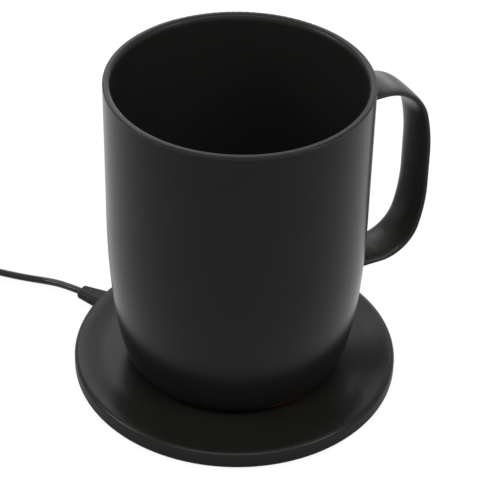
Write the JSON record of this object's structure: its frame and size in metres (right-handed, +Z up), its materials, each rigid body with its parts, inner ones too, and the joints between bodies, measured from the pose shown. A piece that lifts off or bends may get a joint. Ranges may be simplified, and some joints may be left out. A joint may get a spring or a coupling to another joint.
{
  "type": "self heating mug",
  "caption": "Black heated mug with a flat strap handle, tapering to a round foot, standing on a thin round charging coaster with a cord and wall adapter.",
  "frame": {"origin": "centre of the coaster's rubber foot, on the table", "axes": "+Z up along the mug's axis; +X towards the handle; -Y towards the front, where the small light is"},
  "size_m": [0.2132, 0.1503, 0.1067],
  "materials": {
    "coating": "satin black coating on steel",
    "liner_coating": "satin black coating on steel",
    "window": "dark red light window",
    "coaster_plastic": "satin black",
    "base_plastic": "fine matt black",
    "soft_black": "matt black",
    "contact_metal": "gold plated",
    "steel": "bright",
    "spreader": "bare",
    "inner_plastic": "natural",
    "board": "green solder mask",
    "chips": "moulded black",
    "cell_sleeve": "shrink sleeve",
    "pad": "pressed felt",
    "film": "amber film",
    "wire_cover": "matt red",
    "cord_cover": "satin black",
    "adapter_plastic": "fine matt black",
    "blade_metal": "nickel plated"
  },
  "bodies": {
    "coaster": {"coaster_top": "coaster_plastic", "coaster_base": "coaster_plastic", "coaster_foot": "soft_black", "coaster_screws": "steel", "coaster_board": "board", "coaster_lead": "cord_cover", "pin_block": "coaster_plastic", "pin_barrels": "contact_metal", "pin_spring_inner": "steel", "pin_spring_outer": "steel", "cord_boot": "cord_cover", "cord_lead": "cord_cover", "cord_coil": "cord_cover", "cord_tail": "cord_cover", "cord_tie": "soft_black", "adapter_shell": "adapter_plastic", "adapter_cover": "adapter_plastic", "adapter_blades": "blade_metal", "adapter_board": "board", "adapter_boot": "cord_cover"},
    "mug": {"mug_shell": "coating", "mug_liner": "liner_coating", "handle": "coating", "led_window": "window", "led_board": "board", "mounting_ring": "inner_plastic", "base_cap": "base_plastic", "base_gasket": "soft_black", "base_screws": "steel", "foot_ring": "soft_black", "contact_disc": "contact_metal", "contact_ring": "contact_metal", "contact_board": "board", "tact_switch": "chips", "battery_cells": "cell_sleeve", "battery_holder": "inner_plastic", "battery_tabs": "steel", "board_link": "film", "control_board": "board", "board_components": "chips", "board_screws": "steel", "insulation_pad": "pad", "heat_spreader": "spreader", "heater_film": "film", "heater_lead": "film", "temperature_sensor": "chips", "sensor_lead": "wire_cover"},
    "power_button": {"power_button": "base_plastic"},
    "pin_inner": {"contact_pin_inner": "contact_metal"},
    "pin_outer": {"contact_pin_outer": "contact_metal"}
  },
  "joints": [
    {"name": "mug_lift", "type": "slide", "parent": "coaster", "child": "mug", "axis": [0, 0, 1], "range_m": [0, 0.04]},
    {"name": "button_press", "type": "slide", "parent": "mug", "child": "power_button", "axis": [0, 0, 1], "range_m": [0, 0.0005], "stiffness_N_per_m": 1500},
    {"name": "pin_inner_rise", "type": "slide", "parent": "coaster", "child": "pin_inner", "axis": [0, 0, 1], "range_m": [0, 0.001], "deforming": ["pin_spring_inner"]},
    {"name": "pin_outer_rise", "type": "slide", "parent": "coaster", "child": "pin_outer", "axis": [0, 0, 1], "range_m": [0, 0.001], "deforming": ["pin_spring_outer"]}
  ],
  "couplings": [
    {"joint": "pin_inner_rise", "follows": "mug_lift", "ratio": 0.025},
    {"joint": "pin_outer_rise", "follows": "mug_lift", "ratio": 0.025}
  ]
}
